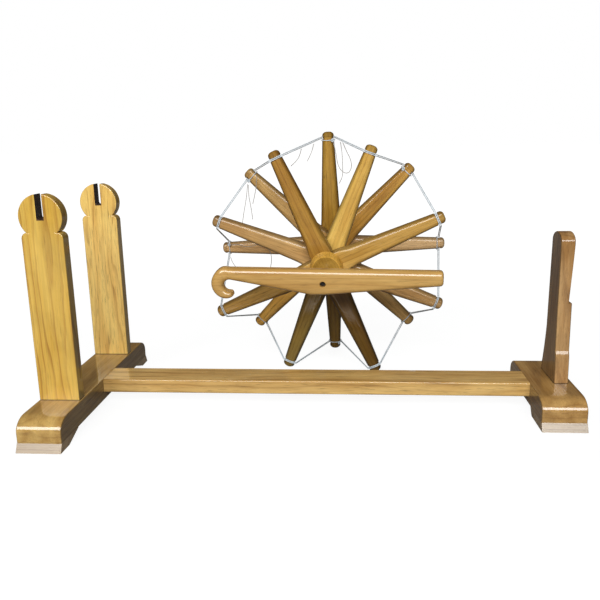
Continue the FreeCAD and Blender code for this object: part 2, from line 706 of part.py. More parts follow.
def wheel_placement():
    """Yaw and lean of the loose wheel, set down so that its lowest tip just touches the floor."""
    turn = FreeCAD.Rotation(Z_AXIS, WHEEL_YAW) * FreeCAD.Rotation(X_AXIS, WHEEL_LEAN)
    lowest = 0
    for rim, number, angle, layer in tips:
        middle, out, around = tip_frame(angle, layer)
        reach = (FRONT_TIP if rim == "front" else REAR_TIP) - TIP_ROUND_LONG
        down = -turn.multVec(out).z
        across = math.sqrt(1 - down ** 2)
        drop = reach * down + TIP_FLAT * across + math.hypot(TIP_ROUND_LONG * down, TIP_ROUND_WIDE * across)
        lowest = min(lowest, turn.multVec(middle).z - drop)
    return FreeCAD.Placement(vec(WHEEL_X, WHEEL_Y, -lowest), turn)


base = {
    "beam": make_beam(),
    "left_foot": make_left_foot(),
    "right_foot": make_right_foot(),
    "front_upright": make_upright(front_upright_y),
    "rear_upright": make_upright(rear_upright_y),
    "spindle_post": make_spindle_post(),
}
for end_name, end in (("front", -1), ("rear", 1)):
    base["left_" + end_name + "_pad"] = make_pad(-1, end, LEFT_FOOT_HALF, LEFT_PAD_SOLE, LEFT_PAD_TAPER)
    base["right_" + end_name + "_pad"] = make_pad(1, end, RIGHT_FOOT_HALF, RIGHT_PAD_SOLE, RIGHT_PAD_TAPER)

wheel = {
    "front_boss": make_boss(hub_front, -1),
    "rear_boss": make_boss(hub_back, 1),
    "hub_drum": make_drum(),
    "hub_arbor": make_arbor(),
    "axle": make_axle(),
    "crank": make_crank(),
    "front_washer": make_washer(CRANK_THICK - CRANK_FACE + WASHER_GAP),
    "rear_washer": make_washer(hub_back + BOSS_LENGTH + WASHER_GAP),
    "rim_strand_inner": make_strand(-STRAND_PITCH / 2),
    "rim_strand_outer": make_strand(STRAND_PITCH / 2),
}
for rim, number, angle, layer in tips:
    if number <= RIM_TIPS / 2:
        tip = FRONT_TIP if rim == "front" else REAR_TIP
        wheel["%s_bar_%d" % (rim, number)] = make_bar(angle, layer, tip, number <= 2)
    if rim == "rear":
        wheel["band_%d" % number] = make_band(number)
for number in KNOT_SIDES:
    wheel["knot_%d" % number] = make_knot(number, wheel["band_%d" % number])
for name, offsets in THREADS.items():
    wheel[name] = make_thread(int(name.split("_")[1]), offsets)

placement = wheel_placement()
print("wheel stands at", placement.Base)
for name, shape in wheel.items():
    shape.Placement = placement.multiply(shape.Placement)

shapes = {**base, **wheel}
solids = [shape for name, shape in shapes.items() if name not in THREADS]
outer = Part.Compound(solids).optimalBoundingBox(False, False)
shift = vec(-(outer.XMin + outer.XMax) / 2, -(outer.YMin + outer.YMax) / 2, -outer.ZMin)
print("outer box", outer, "shift", shift)

os.makedirs("parts", exist_ok=True)
for name, shape in shapes.items():
    shape.translate(shift)
    shape.exportStep("parts/" + name + ".step")
    print(name, shape.isValid(), len(shape.Solids), round(shape.Volume))
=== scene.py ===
import math

import bpy
from mathutils import Euler, Matrix, Vector


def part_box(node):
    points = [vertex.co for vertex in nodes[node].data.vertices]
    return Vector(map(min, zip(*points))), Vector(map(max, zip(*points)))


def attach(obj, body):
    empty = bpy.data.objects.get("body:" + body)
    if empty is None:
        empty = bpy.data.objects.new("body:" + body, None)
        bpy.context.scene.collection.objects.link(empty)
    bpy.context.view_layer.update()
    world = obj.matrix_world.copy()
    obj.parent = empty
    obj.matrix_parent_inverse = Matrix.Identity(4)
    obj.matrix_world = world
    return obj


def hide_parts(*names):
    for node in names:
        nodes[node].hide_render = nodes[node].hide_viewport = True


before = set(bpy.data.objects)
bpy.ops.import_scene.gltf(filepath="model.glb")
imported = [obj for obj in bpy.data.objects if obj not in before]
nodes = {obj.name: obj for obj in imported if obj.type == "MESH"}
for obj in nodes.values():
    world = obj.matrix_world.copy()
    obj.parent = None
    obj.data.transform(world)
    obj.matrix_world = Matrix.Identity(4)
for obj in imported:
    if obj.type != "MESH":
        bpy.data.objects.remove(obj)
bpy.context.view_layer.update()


# The two cross feet are thick teak boards laid flat, sawn, planed and varnished. The long left one
# carries the wheel uprights and the short right one the spindle post, and their toes are rounded over.

RIGHT = (1, 0, 0)
BACK = (0, 1, 0)
UP = (0, 0, 1)

# Noise is drawn out along the grain by shrinking that axis. Waves of scale 1 repeat every 0.314 m.
LONG_STRETCH = 0.14
HAIR_STRETCH = 0.025
WAVE_REPEAT = 0.314
WAVE_DETAIL_SCALE = 70


def tone(red, green, blue):
    """Linear colour of a paint chip written in 0 to 255."""
    linear = [part / 12.92 if part <= 0.04045 else ((part + 0.055) / 1.055) ** 2.4
              for part in (red / 255, green / 255, blue / 255)]
    return (*linear, 1.0)


def new_material(name):
    """Material with its node tree and its main shader."""
    made = bpy.data.materials.new(name)
    made.use_nodes = True
    return made, made.node_tree, made.node_tree.nodes["Principled BSDF"]


def put(tree, socket, value):
    """Set an input, or link it where another socket is given."""
    if isinstance(value, bpy.types.NodeSocket):
        tree.links.new(value, socket)
    else:
        socket.default_value = value


def add(tree, kind, **sockets):
    """New shader node with its inputs put in. An input i0, i1 or i2 is found by its place."""
    made = tree.nodes.new(kind)
    for name, value in sockets.items():
        key = int(name[1:]) if name[1:].isdigit() else name.replace("_", " ")
        put(tree, made.inputs[key], value)
    return made


def maths(tree, operation, *values, kind="ShaderNodeMath", result="Value"):
    """Result of one sum on numbers, or on vectors with the vector kind of node."""
    made = add(tree, kind, **{"i%d" % number: value for number, value in enumerate(values)})
    made.operation = operation
    return made.outputs[result]


def object_place(tree):
    """Place of the shaded point in the object's frame, in metres."""
    return tree.nodes.new("ShaderNodeTexCoord").outputs["Object"]


def noise(tree, place, scale, detail, **more):
    """Cloudy noise between 0 and 1."""
    return add(tree, "ShaderNodeTexNoise", Vector=place, Scale=scale, Detail=detail, **more).outputs["Fac"]


def steps(tree, factor, *stops):
    """Colour ramp through (place, grey or colour) stops."""
    ramp = add(tree, "ShaderNodeValToRGB", Fac=factor)
    bar = ramp.color_ramp.elements
    for number, (place, value) in enumerate(stops):
        stop = bar[number] if number < 2 else bar.new(place)
        stop.position = place
        stop.color = value if isinstance(value, tuple) else (value, value, value, 1)
    return ramp.outputs["Color"]


def mixed(tree, factor, under, over, way="MIX"):
    """One colour laid over another."""
    mix = tree.nodes.new("ShaderNodeMix")
    mix.data_type = "RGBA"
    mix.blend_type = way
    for place, value in ((0, factor), (6, under), (7, over)):
        put(tree, mix.inputs[place], value)
    return mix.outputs[2]


def wood(name, along, layers, pale, deep, streak, ring=0.011, sway=5.0, mark=0.45, pores=0.5,
         shift=(0, 0, 0), rough=(0.4, 0.6), coat=0.9, coat_rough=0.1, grime=0.25):
    """Varnished teak whose grain runs along one direction and whose growth layers stack along another."""
    made, tree, shader = new_material(name)
    along = Vector(along).normalized()
    layers = (Vector(layers) - along * along.dot(Vector(layers))).normalized()
    turn = Matrix((layers, along.cross(layers), along))
    local = add(tree, "ShaderNodeMapping", Vector=object_place(tree), Rotation=turn.to_euler(),
                Location=shift).outputs[0]
    long = add(tree, "ShaderNodeMapping", Vector=local, Scale=(1, 1, LONG_STRETCH)).outputs[0]
    hair = add(tree, "ShaderNodeMapping", Vector=local, Scale=(1, 1, HAIR_STRETCH)).outputs[0]
    broad = noise(tree, long, 48, 3, Distortion=0.5)
    fibres = noise(tree, hair, 420, 4)
    specks = noise(tree, hair, 1500, 2)
    rings = add(tree, "ShaderNodeTexWave", Vector=long, Scale=WAVE_REPEAT / ring, Distortion=sway,
                Detail=2.5, Detail_Scale=WAVE_DETAIL_SCALE * ring)
    rings.wave_profile = "SAW"
    body = mixed(tree, steps(tree, broad, (0.33, 0), (0.67, 1)), tone(*pale), tone(*deep))
    patchy = steps(tree, broad, (0.35, 0.35), (0.65, 1))
    late = steps(tree, rings.outputs["Fac"], (0.6, 0), (0.93, mark), (0.99, 0.1 * mark))
    body = mixed(tree, mixed(tree, 1.0, late, patchy, "MULTIPLY"), body, tone(*streak))
    body = mixed(tree, 1.0, body, steps(tree, fibres, (0.36, 0.9), (0.62, 1.02)), "MULTIPLY")
    dash = steps(tree, specks, (0.6, 0), (0.7, pores))
    body = mixed(tree, dash, body, tone(*[part * 0.45 for part in streak]))
    cloud = noise(tree, local, 14, 3)
    body = mixed(tree, steps(tree, cloud, (0.5, 0), (0.78, grime)), body,
                 tone(*[part * 0.55 for part in deep]))
    put(tree, shader.inputs["Base Color"], body)
    put(tree, shader.inputs["Roughness"], steps(tree, fibres, (0.3, rough[1]), (0.7, rough[0])))
    shader.inputs["Specular IOR Level"].default_value = 0.12
    shader.inputs["Coat Weight"].default_value = coat
    shader.inputs["Coat Roughness"].default_value = coat_rough
    shader.inputs["Coat IOR"].default_value = 1.8
    raised = maths(tree, "SUBTRACT", fibres, dash)
    bump = add(tree, "ShaderNodeBump", Strength=0.1, Distance=0.0004, Height=raised)
    put(tree, shader.inputs["Normal"], bump.outputs[0])
    return made


def repaint(made, factor, over, way="MIX"):
    """Lay a colour over the one that a material has so far."""
    tree = made.node_tree
    base = tree.nodes["Principled BSDF"].inputs["Base Color"]
    tree.links.new(mixed(tree, factor, base.links[0].from_socket, over, way), base)


def painted_face_shade(made, way, share, begins=0.35, whole=0.85):
    """Painted shade: faces turned along or against one direction get a darker colour."""
    tree = made.node_tree
    normal = tree.nodes.new("ShaderNodeTexCoord").outputs["Normal"]
    facing = maths(tree, "DOT_PRODUCT", normal, way, kind="ShaderNodeVectorMath")
    turned = maths(tree, "ABSOLUTE", facing)
    repaint(made, 1.0, steps(tree, turned, (begins, 1), (whole, share)), "MULTIPLY")


def finish_in(made, *names):
    """The CAD nodes of these names get one material."""
    for name in names:
        nodes[name].data.materials.clear()
        nodes[name].data.materials.append(made)


left_foot_wood = wood("left foot teak", BACK, UP, (206, 168, 98), (174, 132, 68), (116, 78, 34),
                      ring=0.013, sway=10, shift=(0.01, 0.02, 0.3))
right_foot_wood = wood("right foot teak", BACK, UP, (200, 156, 92), (160, 116, 58), (110, 72, 30),
                       ring=0.009, sway=7, shift=(0.05, 0.4, 0.1))
# Painted shade: the faces of both feet turned to the left and right are darkened.
painted_face_shade(left_foot_wood, RIGHT, 0.45)
painted_face_shade(right_foot_wood, RIGHT, 0.6)
finish_in(left_foot_wood, "left_foot")
finish_in(right_foot_wood, "right_foot")


# Four low teak blocks under the toes lift the feet off the floor. They are glued on, and their outer
# ends are planed to a slope that catches the light.

pad_wood = wood("pad teak", RIGHT, UP, (176, 150, 116), (146, 120, 86), (100, 72, 46), ring=0.006,
                rough=(0.35, 0.5), coat=0.6, coat_rough=0.2)
finish_in(pad_wood, "left_front_pad", "left_rear_pad", "right_front_pad", "right_rear_pad")


# The beam is a flat teak rail tenoned into both feet. Its top is scuffed pale where loose parts were
# laid on it.

beam_wood = wood("beam teak", RIGHT, (0, 0.5, 1), (236, 194, 120), (206, 160, 90), (146, 100, 46),
                 ring=0.009, sway=12, mark=0.6, pores=0.7, shift=(0.2, 0, 0))


def scuff(made, middle, size, colour, strength):
    """Pale rubbed spot inside a flat ellipse, broken up by noise."""
    tree = made.node_tree
    place = object_place(tree)
    inside = add(tree, "ShaderNodeMapping", Vector=place, Scale=[1 / half for half in size],
                 Location=[-part / half for part, half in zip(middle, size)]).outputs[0]
    reach = maths(tree, "LENGTH", inside, kind="ShaderNodeVectorMath")
    ragged = maths(tree, "ADD", reach, noise(tree, place, 700, 5))
    repaint(made, steps(tree, ragged, (0.85, strength), (1.1, 0)), tone(*colour))


for middle, size in (((-0.024, -0.038, 0.048), (0.010, 0.004, 0.004)),
                     ((0.170, -0.044, 0.048), (0.014, 0.003, 0.004))):
    scuff(beam_wood, middle, size, (236, 232, 224), 0.8)
finish_in(beam_wood, "beam")


# Two teak uprights stand in mortises in the left foot. Each ends in a sawn disc with an open slot
# for the axle, and the walls of the slot carry painted shade in grease-like blotches.

UPRIGHT_X = -0.387
SLOT_HALF = 0.0059
SLOT_MIDDLE = 0.351
SLOT_HALF_HEIGHT = 0.0235
JOINT_SHADOW_FROM = 0.0006
JOINT_SHADOW_TO = 0.0022


def ranged(tree, value, low, high, bottom=0.0, top=1.0):
    """Value held between two levels and stretched to run from bottom to top."""
    return add(tree, "ShaderNodeMapRange", Value=value, From_Min=low, From_Max=high, To_Min=bottom,
               To_Max=top).outputs[0]


def painted_joint_shadow(made, level):
    """Thin line of painted shadow where a standing piece enters the board below it."""
    tree = made.node_tree
    split = add(tree, "ShaderNodeSeparateXYZ", Vector=object_place(tree))
    height = ranged(tree, split.outputs["Z"], level + JOINT_SHADOW_FROM, level + JOINT_SHADOW_TO)
    repaint(made, 1.0, steps(tree, height, (0, 0.2), (1, 1)), "MULTIPLY")


def painted_slot_shade(made):
    """Painted shade in grease-like blotches inside and just round the open slot."""
    tree = made.node_tree
    place = object_place(tree)
    inside = add(tree, "ShaderNodeMapping", Vector=place, Scale=(1 / SLOT_HALF, 0, 1 / SLOT_HALF_HEIGHT),
                 Location=(-UPRIGHT_X / SLOT_HALF, 0, -SLOT_MIDDLE / SLOT_HALF_HEIGHT)).outputs[0]
    sides = maths(tree, "ABSOLUTE", inside, kind="ShaderNodeVectorMath", result="Vector")
    split = add(tree, "ShaderNodeSeparateXYZ", Vector=sides)
    edge = maths(tree, "MAXIMUM", split.outputs["X"], split.outputs["Z"])
    blotch = noise(tree, place, 260, 4)
    slot_shade_colour = mixed(tree, steps(tree, blotch, (0.35, 0), (0.7, 1)), tone(52, 32, 22), tone(96, 66, 50))
    repaint(made, steps(tree, edge, (0.94, 1), (1.03, 0)), slot_shade_colour)


front_upright_wood = wood("front upright teak", UP, (1, 0.12, 0), (226, 185, 88), (208, 162, 64),
                          (150, 92, 28), ring=0.012, sway=15, mark=0.75, pores=0.35, shift=(0.003, 0, 0.2))
# The rear upright's colours are raised in part as painted light, against the shadow that the front upright
# casts on it.
rear_upright_wood = wood("rear upright teak", UP, (1, 0.6, 0), (252, 214, 122), (236, 188, 98),
                         (168, 112, 48), ring=0.010, sway=22, mark=0.6, pores=0.8, shift=(0.1, 0.3, 0.5))
# Painted shade in each slot and on each upright's left and right faces, and a painted shadow line where it
# stands in the foot.
for made in (front_upright_wood, rear_upright_wood):
    painted_slot_shade(made)
    painted_face_shade(made, RIGHT, 0.45)
    painted_joint_shadow(made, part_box("left_foot")[1][2])
finish_in(front_upright_wood, "front_upright")
finish_in(rear_upright_wood, "rear_upright")


# The spindle post is one teak board on edge with an arched top, tenoned into the right foot. Its
# outer face is cut back above a ledge, and its broad faces are painted darker as shade.

post_wood = wood("spindle post teak", UP, (0.2, 1, 0), (204, 162, 108), (160, 116, 66), (96, 60, 28),
                 ring=0.010, sway=4, pores=0.6, coat=0.6, coat_rough=0.1, shift=(0, 0.02, 0.4))
# Painted shade on the post's left and right faces, and a painted shadow line where it stands in the foot.
painted_face_shade(post_wood, RIGHT, 0.5)
painted_joint_shadow(post_wood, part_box("right_foot")[1][2])
finish_in(post_wood, "spindle_post")


# Eight teak spoke bars make the four crosses of the wheel, two bars lapped at the middle of each.
# Every bar is planed to a taper towards its two domed tips, so its grain follows its own length.

WHEEL_CENTRE = Vector((0.0214, 0.066465, 0.210451))
WHEEL_TURN = Euler((0, 0, math.radians(-1.82))).to_matrix() @ Euler((math.radians(5.96), 0, 0)).to_matrix()
RIM_TIPS = 8
TIP_ANGLE = 360 / RIM_TIPS
FRONT_FIRST_ANGLE = 113.86
REAR_FIRST_ANGLE = 91.16
LAYER_LEAN = 0.4
FIRST_ARM_FROM = 0.05
OTHER_ARM_FROM = -0.06
TIP_FROM = 0.2165
TIP_WHOLE = 0.2205
TIP_RAGGED = 0.002
TIP_END_GRAIN_TONE = 0.75

# Each bar has a pale, a deep and a streak colour, then its first and other arm's painted-shade lightness.
BAR_TONES_AND_SHADING = {
    "front_bar_1": ((190, 144, 62), (164, 114, 42), (118, 74, 26), 1.0, 0.32),
    "front_bar_2": ((236, 194, 100), (216, 168, 78), (164, 112, 42), 1.0, 0.32),
    "front_bar_3": ((212, 168, 88), (188, 142, 66), (140, 94, 38), 1.0, 1.0),
    "front_bar_4": ((232, 186, 120), (206, 158, 96), (152, 106, 58), 1.0, 0.8),
    "rear_bar_1": ((192, 148, 58), (166, 120, 42), (120, 78, 26), 1.0, 0.5),
    "rear_bar_2": ((240, 184, 88), (208, 150, 64), (150, 98, 36), 0.82, 1.0),
    "rear_bar_3": ((252, 208, 150), (224, 176, 114), (164, 118, 68), 0.84, 1.0),
    "rear_bar_4": ((220, 178, 112), (192, 148, 84), (138, 96, 48), 1.0, 1.0),
}


def wheel_way(x, y, z):
    """Direction in the frame of one given in the leaning wheel's own axes."""
    return WHEEL_TURN @ Vector((x, y, z))


def painted_arm_shade_and_tips(made, along, first_arm_shading, other_arm_shading):
    """One arm of a bar may be darker than the other as painted shade, and both tips are dark end grain."""
    tree = made.node_tree
    place = object_place(tree)
    from_centre = add(tree, "ShaderNodeMapping", Vector=place, Location=-WHEEL_CENTRE).outputs[0]
    reach = maths(tree, "DOT_PRODUCT", from_centre, along, kind="ShaderNodeVectorMath")
    # Painted shade: the darker arm stands in for the shade on that part of the wheel.
    arm = ranged(tree, reach, OTHER_ARM_FROM, FIRST_ARM_FROM)
    repaint(made, 1.0, steps(tree, arm, (0, other_arm_shading), (1, first_arm_shading)), "MULTIPLY")
    ragged = maths(tree, "MULTIPLY_ADD", noise(tree, place, 500, 3), TIP_RAGGED,
                   maths(tree, "ABSOLUTE", reach))
    end = ranged(tree, ragged, TIP_FROM, TIP_WHOLE)
    repaint(made, 1.0, steps(tree, end, (0, 1), (1, TIP_END_GRAIN_TONE)), "MULTIPLY")


for name, (pale, deep, streak, first_arm_shading, other_arm_shading) in BAR_TONES_AND_SHADING.items():
    number = int(name[-1])
    first = FRONT_FIRST_ANGLE if name.startswith("front") else REAR_FIRST_ANGLE
    angle = math.radians(first - TIP_ANGLE * (number - 1))
    along = wheel_way(math.cos(angle), 0, math.sin(angle))
    across = wheel_way(-math.sin(angle), 0, math.cos(angle))
    layers = wheel_way(-math.sin(angle), LAYER_LEAN * (number - 2), math.cos(angle))
    bar_wood = wood(name.replace("_", " ") + " teak", along, layers, pale, deep, streak, ring=0.007,
                    sway=4, pores=0.6, coat=0.45, coat_rough=0.14, shift=(0.03 * number, 0.1, 0.2 * number))
    # Painted shade: the side faces of each bar are darkened, which draws dark lines along its rounded
    # edges.
    painted_face_shade(bar_wood, across, 0.5)
    painted_arm_shade_and_tips(bar_wood, along, first_arm_shading, other_arm_shading)
    finish_in(bar_wood, name)


# The hub is turned from teak: a boss on each end, a spacer drum between the crosses, and a tube of
# wood through them all. The grain runs along the axle, so the faces show speckled end grain, and their
# darker colour is partly end grain and partly painted shade that sets off the lit side walls.

AXLE_WAY = wheel_way(0, 1, 0)
hub_wood = wood("hub teak", AXLE_WAY, wheel_way(1, 0, 0.6), (226, 174, 76), (194, 144, 54),
                (134, 88, 30), ring=0.005, sway=6, pores=0.9, coat=0.4)
# Painted shade, partly end grain: the end faces of the hub are darkened against its lit side walls.
painted_face_shade(hub_wood, AXLE_WAY, 0.62, begins=0.8, whole=0.96)
finish_in(hub_wood, "front_boss", "rear_boss", "hub_drum", "hub_arbor")


# The axle is a plain steel rod, rubbed bright where it turns and with painted shade on its sawn ends,
# and two oiled leather washers keep the hub from rubbing.

steel, tree, shader = new_material("plain steel")
rub = noise(tree, object_place(tree), 330, 4)
metal = mixed(tree, steps(tree, rub, (0.4, 0), (0.65, 1)), tone(150, 148, 146), tone(96, 88, 80))
put(tree, shader.inputs["Base Color"], metal)
put(tree, shader.inputs["Roughness"], steps(tree, rub, (0.35, 0.28), (0.65, 0.55)))
shader.inputs["Metallic"].default_value = 1.0
# Painted shade: the rod's end faces are darkened.
painted_face_shade(steel, AXLE_WAY, 0.3)
finish_in(steel, "axle")

leather, tree, shader = new_material("oiled leather")
place = object_place(tree)
hide = add(tree, "ShaderNodeTexVoronoi", Vector=place, Scale=900)
patch = noise(tree, place, 200, 4)
brown = mixed(tree, steps(tree, patch, (0.35, 0), (0.7, 1)), tone(98, 62, 38), tone(58, 36, 24))
put(tree, shader.inputs["Base Color"], brown)
shader.inputs["Roughness"].default_value = 0.6
bump = add(tree, "ShaderNodeBump", Strength=0.4, Distance=0.0003, Height=hide.outputs["Distance"])
put(tree, shader.inputs["Normal"], bump.outputs[0])
finish_in(leather, "front_washer", "rear_washer")


# The crank is a flat bar of pale teak, rounded and polished all over, with the axle through its
# middle and a finger hook sawn at its left end.

crank_wood = wood("crank teak", wheel_way(1, 0, 0), wheel_way(0, 0.5, 1), (220, 176, 102),
                  (196, 148, 76), (150, 100, 44), ring=0.009, sway=4, pores=0.45, rough=(0.3, 0.45),
                  coat=1.0, coat_rough=0.24, grime=0.15)
finish_in(crank_wood, "crank")


# White cotton cord is laced in a zigzag round the sixteen tips, two strands side by side, pulled
# tight in a groove near each tip. Each strand is three plies twisted together.

GROOVE_RADIUS = 0.215
BAR_THICK = 0.025
BAR_TIP_THICK = 0.019
BAR_HALF_WIDTH = 0.0205
BAR_TIP_HALF_WIDTH = 0.0111
SHAPED_FROM = 0.054
FRONT_TIP = 0.2275
REAR_OUTER_LAYER = 0.149
REAR_INNER_LAYER = 0.124
CORD_DIAMETER = 0.0018
STRAND_PITCH = 0.0024
CORD_REST = 0.0001
GROOVE_DEPTH = 0.0014
RUN_POINT = 6 * CORD_DIAMETER
PLY_RADIUS = 0.0007
PLY_OFFSET = 0.0002
TWIST_PITCH = 0.009
PLY_STEP = 0.0012
FEWEST_STEPS = 12


def bar_half_width(reach):
    """Half the width of a bar at a distance from the wheel's middle."""
    share = (reach - SHAPED_FROM) / (FRONT_TIP - SHAPED_FROM)
    return BAR_HALF_WIDTH + share * (BAR_TIP_HALF_WIDTH - BAR_HALF_WIDTH)


def bar_half_thick(reach):
    """Half the thickness of a bar there."""
    share = (reach - SHAPED_FROM) / (FRONT_TIP - SHAPED_FROM)
    return (BAR_THICK + share * (BAR_TIP_THICK - BAR_THICK)) / 2


def wheel_point(point):
    """Place in the frame of a point given in the leaning wheel's own axes."""
    return WHEEL_CENTRE + WHEEL_TURN @ point


def smooth_line(points, closed=False):
    """Points along the smooth line that the route's points control, evenly spaced."""
    data = bpy.data.curves.new("route", "CURVE")
    data.dimensions = "3D"
    data.resolution_u = 10
    spline = data.splines.new("NURBS")
    spline.points.add(len(points) - 1)
    for place, point in zip(spline.points, points):
        place.co = (*point, 1)
    spline.order_u = 3
    spline.use_endpoint_u = not closed
    spline.use_cyclic_u = closed
    route = bpy.data.objects.new("route", data)
    mesh = bpy.data.meshes.new_from_object(route)
    along = [vertex.co.copy() for vertex in mesh.vertices]
    bpy.data.objects.remove(route)
    bpy.data.meshes.remove(mesh)
    if closed:
        along.append(along[0].copy())
    total = sum((b - a).length for a, b in zip(along, along[1:]))
    count = max(FEWEST_STEPS, round(total / PLY_STEP))
    spaced = [along[0]]
    walked = 0
    for a, b in zip(along, along[1:]):
        run = (b - a).length
        while len(spaced) < count and walked + run >= len(spaced) * total / count:
            spaced.append(a.lerp(b, (len(spaced) * total / count - walked) / run))
        walked += run
    if not closed:
        spaced.append(along[-1])
    return spaced, total


def twisted(name, points, closed=False):
    """Three plies twisted round a smooth line, as one mesh piece."""
    line, total = smooth_line(points, closed)
    count = len(line)
    turns = round(total / TWIST_PITCH)
    ways = []
    for number in range(count):
        after = line[(number + 1) % count] if closed else line[min(number + 1, count - 1)]
        before = line[number - 1] if closed else line[max(number - 1, 0)]
        ways.append((after - before).normalized())
    side = ways[0].orthogonal().normalized()
    sides = []
    for way in ways:
        side = (side - way * side.dot(way)).normalized()
        sides.append(side)
    spare = 0
    if closed:
        spare = sides[0].angle(side)
        spare = -spare if ways[0].dot(sides[0].cross(side)) > 0 else spare
    data = bpy.data.curves.new(name, "CURVE")
    data.dimensions = "3D"
    data.bevel_depth = PLY_RADIUS
    data.bevel_resolution = 1
    data.use_fill_caps = True
    for ply in range(3):
        spline = data.splines.new("POLY")
        spline.points.add(count - 1)
        for number, place in enumerate(spline.points):
            share = number / count
            angle = 2 * math.pi * (ply / 3 + turns * share) + spare * share
            way, side = ways[number], sides[number]
            out = side * math.cos(angle) + way.cross(side) * math.sin(angle)
            place.co = (*(line[number] + out * PLY_OFFSET), 1)
        spline.use_cyclic_u = closed
    piece = bpy.data.objects.new(name, data)
    bpy.context.collection.objects.link(piece)
    bpy.ops.object.select_all(action="DESELECT")
    piece.select_set(True)
    bpy.context.view_layer.objects.active = piece
    bpy.ops.object.convert(target="MESH")
    bpy.ops.object.shade_smooth()
    return bpy.context.view_layer.objects.active


def cotton(name, clean, soiled, wear):
    """Undyed cotton: matt, fuzzy, and a little grey where fingers soiled it."""
    made, tree, shader = new_material(name)
    place = object_place(tree)
    dirt = noise(tree, place, 60, 4)
    fuzz = noise(tree, place, 4200, 3)
    colour = mixed(tree, steps(tree, dirt, (0.42, 0), (0.7, wear)), tone(*clean), tone(*soiled))
    colour = mixed(tree, 1.0, colour, steps(tree, fuzz, (0.35, 0.95), (0.6, 1)), "MULTIPLY")
    put(tree, shader.inputs["Base Color"], colour)
    shader.inputs["Roughness"].default_value = 0.85
    shader.inputs["Sheen Weight"].default_value = 0.3
    bump = add(tree, "ShaderNodeBump", Strength=0.12, Distance=0.0002, Height=fuzz)
    put(tree, shader.inputs["Normal"], bump.outputs[0])
    return made


rim_cotton = cotton("rim cord cotton", (217, 226, 232), (180, 188, 195), 0.6)
tips = []
for number in range(RIM_TIPS):
    outer = number % 2 == 0
    tips.append(("front", FRONT_FIRST_ANGLE - TIP_ANGLE * number, 0 if outer else BAR_THICK))
    tips.append(("rear", REAR_FIRST_ANGLE - TIP_ANGLE * number,
                 REAR_OUTER_LAYER if outer else REAR_INNER_LAYER))


def tip_ways(angle):
    """Outward and counterclockwise directions of a tip in the wheel's axes."""
    radians = math.radians(angle)
    return (Vector((math.cos(radians), 0, math.sin(radians))),
            Vector((-math.sin(radians), 0, math.cos(radians))))


for name, shift in (("rim_strand_inner", -STRAND_PITCH / 2), ("rim_strand_outer", STRAND_PITCH / 2)):
    reach = GROOVE_RADIUS + shift
    rest = CORD_DIAMETER / 2 + CORD_REST - GROOVE_DEPTH
    half_width = bar_half_width(reach) + rest
    half_thick = bar_half_thick(reach) + rest
    corners = []
    for rim, angle, layer in tips:
        out, around = tip_ways(angle)
        face = -half_thick if rim == "front" else half_thick
        for side in (1, -1):
            corners.append(out * reach + around * (side * half_width) + Vector((0, layer + face, 0)))
    route = []
    start = (corners[-1] + corners[-2]) / 2
    gap = (corners[-1] - corners[-2]).normalized() * CORD_DIAMETER
    corners = corners[-1:] + corners[:-1]
    route.append(start + gap)
    for number, corner in enumerate(corners):
        if number % 2:
            route.append(corner + (corners[number - 1] - corner).normalized() * RUN_POINT)
        route.append(corner)
        if number % 2 == 0 and number + 1 < len(corners):
            route.append(corner + (corners[number + 1] - corner).normalized() * RUN_POINT)
    route.append(start - gap)
    strand = twisted(name + "_cord", [wheel_point(point) for point in route])
    strand.data.materials.append(rim_cotton)
    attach(strand, "wheel")
    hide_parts(name)


# Each rear tip has one more turn of the same cord, drawn tight just inside its groove, and five of
# those turns end in a small hard knot.

BAND_INSET = 0.0046
BAND_REACH = GROOVE_RADIUS - BAND_INSET
KNOT_SIDES = {1: -1, 2: 1, 5: 1, 7: -1, 8: 1}
KNOT_RADIUS = 0.0032
KNOT_PLACE = 0.75
KNOT_WIDE = 0.0026
KNOT_STRETCH = 1.35
KNOT_DEPTH = 0.62
KNOT_POINTS = 24


def knot_point(middle, out, around, turn):
    """Point on the closed trefoil line that a knot's cord follows."""
    ring = (2 + math.cos(3 * turn)) * KNOT_WIDE / 3
    point = middle + out * (KNOT_STRETCH * ring * math.cos(2 * turn))
    point += around * (ring * math.sin(2 * turn))
    return point + Vector((0, KNOT_WIDE * KNOT_DEPTH * math.sin(3 * turn), 0))


rear_tips = {number + 1: tip[1:] for number, tip in enumerate(tips[1::2])}
grown = CORD_DIAMETER / 2 + CORD_REST
for number, (angle, layer) in rear_tips.items():
    out, around = tip_ways(angle)
    wide = bar_half_width(BAND_REACH) + grown
    deep = bar_half_thick(BAND_REACH) + grown
    loop = [out * BAND_REACH + around * (across * wide) + Vector((0, layer + back * deep, 0))
            for across, back in ((1, 1), (-1, 1), (-1, -1), (1, -1))]
    band = twisted("band_cord_%d" % number, [wheel_point(point) for point in loop], closed=True)
    band.data.materials.append(rim_cotton)
    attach(band, "wheel")
    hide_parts("band_%d" % number)
    if number in KNOT_SIDES:
        middle = (out * BAND_REACH + around * (KNOT_SIDES[number] * bar_half_width(BAND_REACH) * KNOT_PLACE)
                  + Vector((0, layer - bar_half_thick(BAND_REACH) - KNOT_RADIUS, 0)))
        tangle = [knot_point(middle, out, around, 2 * math.pi * step / KNOT_POINTS)
                  for step in range(KNOT_POINTS)]
        knot = twisted("knot_cord_%d" % number, [wheel_point(point) for point in tangle], closed=True)
        knot.data.materials.append(rim_cotton)
        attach(knot, "wheel")
        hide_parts("knot_%d" % number)


# Loose ends of a finer white thread hang and curl at three rear tips, left from the lacing. Each
# row holds the number of its rear tip, its length in metres and its route in millimetres.

